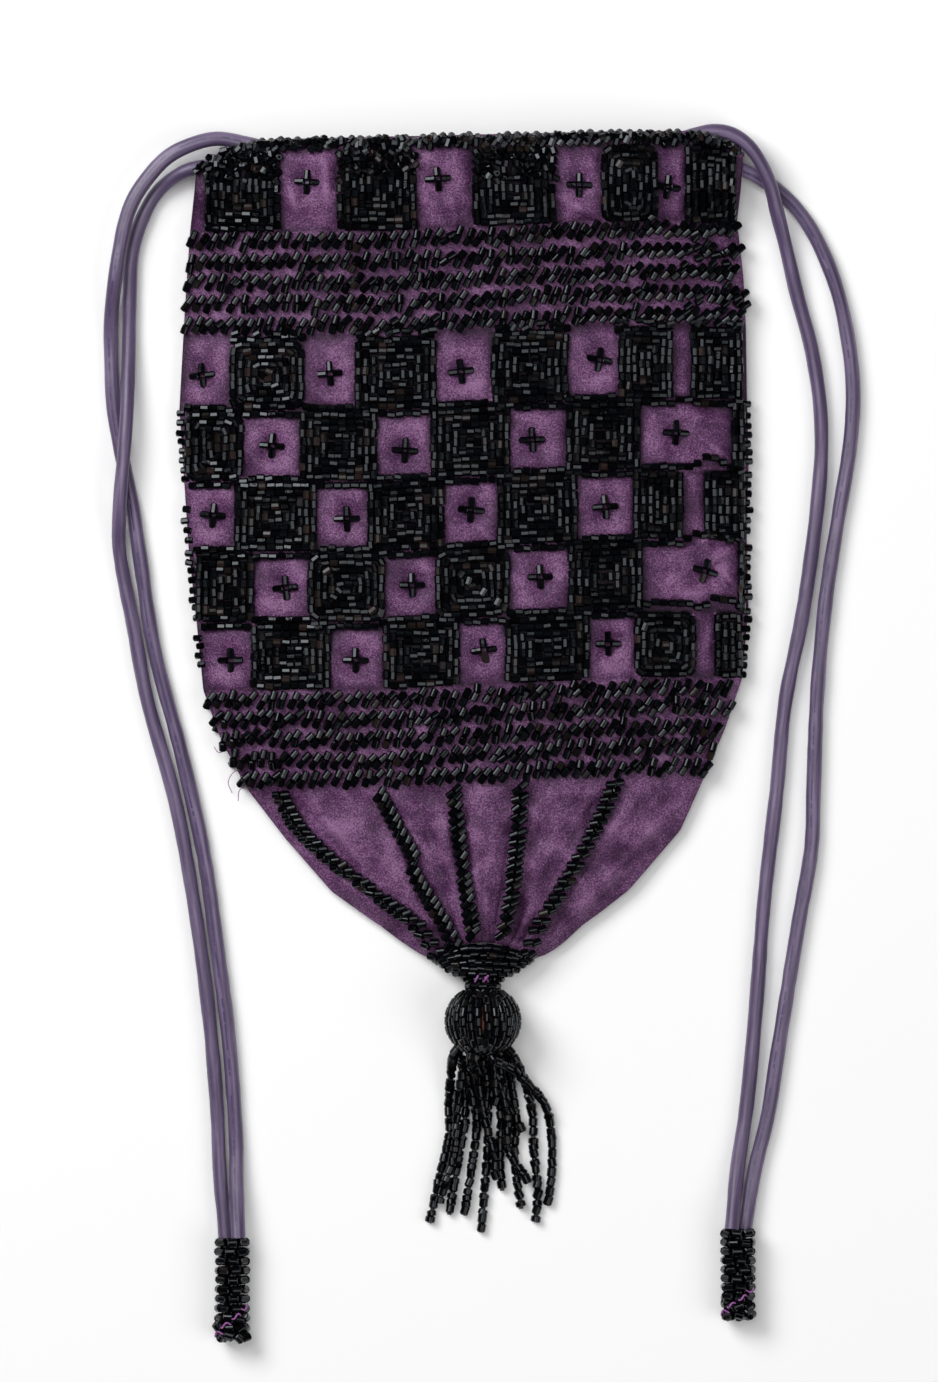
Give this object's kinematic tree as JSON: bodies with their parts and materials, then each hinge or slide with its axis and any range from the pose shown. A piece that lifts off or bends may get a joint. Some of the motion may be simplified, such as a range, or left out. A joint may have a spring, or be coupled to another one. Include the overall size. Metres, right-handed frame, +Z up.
{
  "type": "beaded drawstring pouch",
  "caption": "Flat silk drawstring pouch with black bead bands and a bead checker pattern, a tapered base, a ball and tassel at its point, and a drawcord at each side.",
  "frame": {"origin": "on the surface that the pouch lies on, below the middle of the pouch's box without its drawcords and their tips", "axes": "+Y from the tassel to the mouth, +Z up from the back panel to the front panel, +X to the right side as the front is seen"},
  "size_m": [0.197, 0.3166, 0.0188],
  "materials": {
    "silk": "crepe silk",
    "cord_silk": "satin tube",
    "lining_cloth": "plain cloth",
    "bead_glass": "opaque black glass, faceted",
    "thread": "sewing thread",
    "core_wood": "bare stained wood"
  },
  "bodies": {
    "pouch": {"back_base_line_1": "bead_glass", "back_base_line_2": "bead_glass", "back_base_line_3": "bead_glass", "back_base_line_4": "bead_glass", "back_base_line_5": "bead_glass", "back_checker_row_0": "bead_glass", "back_checker_row_1": "bead_glass", "back_checker_row_2": "bead_glass", "back_checker_row_3": "bead_glass", "back_checker_row_4": "bead_glass", "back_checker_row_5": "bead_glass", "back_lower_band": "bead_glass", "back_upper_band": "bead_glass", "back_rim_beads": "bead_glass", "front_base_line_1": "bead_glass", "front_base_line_2": "bead_glass", "front_base_line_3": "bead_glass", "front_base_line_4": "bead_glass", "front_base_line_5": "bead_glass", "front_checker_row_0": "bead_glass", "front_checker_row_1": "bead_glass", "front_checker_row_2": "bead_glass", "front_checker_row_3": "bead_glass", "front_checker_row_4": "bead_glass", "front_checker_row_5": "bead_glass", "front_lower_band_row_1": "bead_glass", "front_lower_band_row_2": "bead_glass", "front_lower_band_row_3": "bead_glass", "front_lower_band_row_4": "bead_glass", "front_lower_band_row_5": "bead_glass", "front_upper_band_row_1": "bead_glass", "front_upper_band_row_2": "bead_glass", "front_upper_band_row_3": "bead_glass", "front_upper_band_row_4": "bead_glass", "front_upper_band_row_5": "bead_glass", "front_rim_beads": "bead_glass", "front_panel": "silk", "back_panel": "silk", "lining": "lining_cloth", "front_casing": "silk", "back_casing": "silk", "collar": "bead_glass", "left_drawcord": "cord_silk", "right_drawcord": "cord_silk", "left_cord_tip": "bead_glass", "right_cord_tip": "bead_glass"},
    "neck": {"neck_knot": "thread"},
    "tassel": {"ball_bead_cover": "bead_glass", "ball_core": "core_wood", "tassel_string_1": "bead_glass", "tassel_string_2": "bead_glass", "tassel_string_3": "bead_glass", "tassel_string_4": "bead_glass", "tassel_string_5": "bead_glass", "tassel_string_6": "bead_glass", "tassel_string_7": "bead_glass", "tassel_string_8": "bead_glass", "tassel_string_9": "bead_glass", "tassel_string_10": "bead_glass", "tassel_string_11": "bead_glass"}
  },
  "joints": [
    {"name": "neck_swing", "type": "hinge", "parent": "pouch", "child": "neck", "pos_m": [0.0049, -0.07645, 0.0096], "axis": [0, 0, 1], "range_deg": [-35, 35]},
    {"name": "tassel_lift", "type": "hinge", "parent": "neck", "child": "tassel", "pos_m": [0.0049, -0.07645, 0.0096], "axis": [-1, 0, 0], "range_deg": [0, 80]}
  ]
}
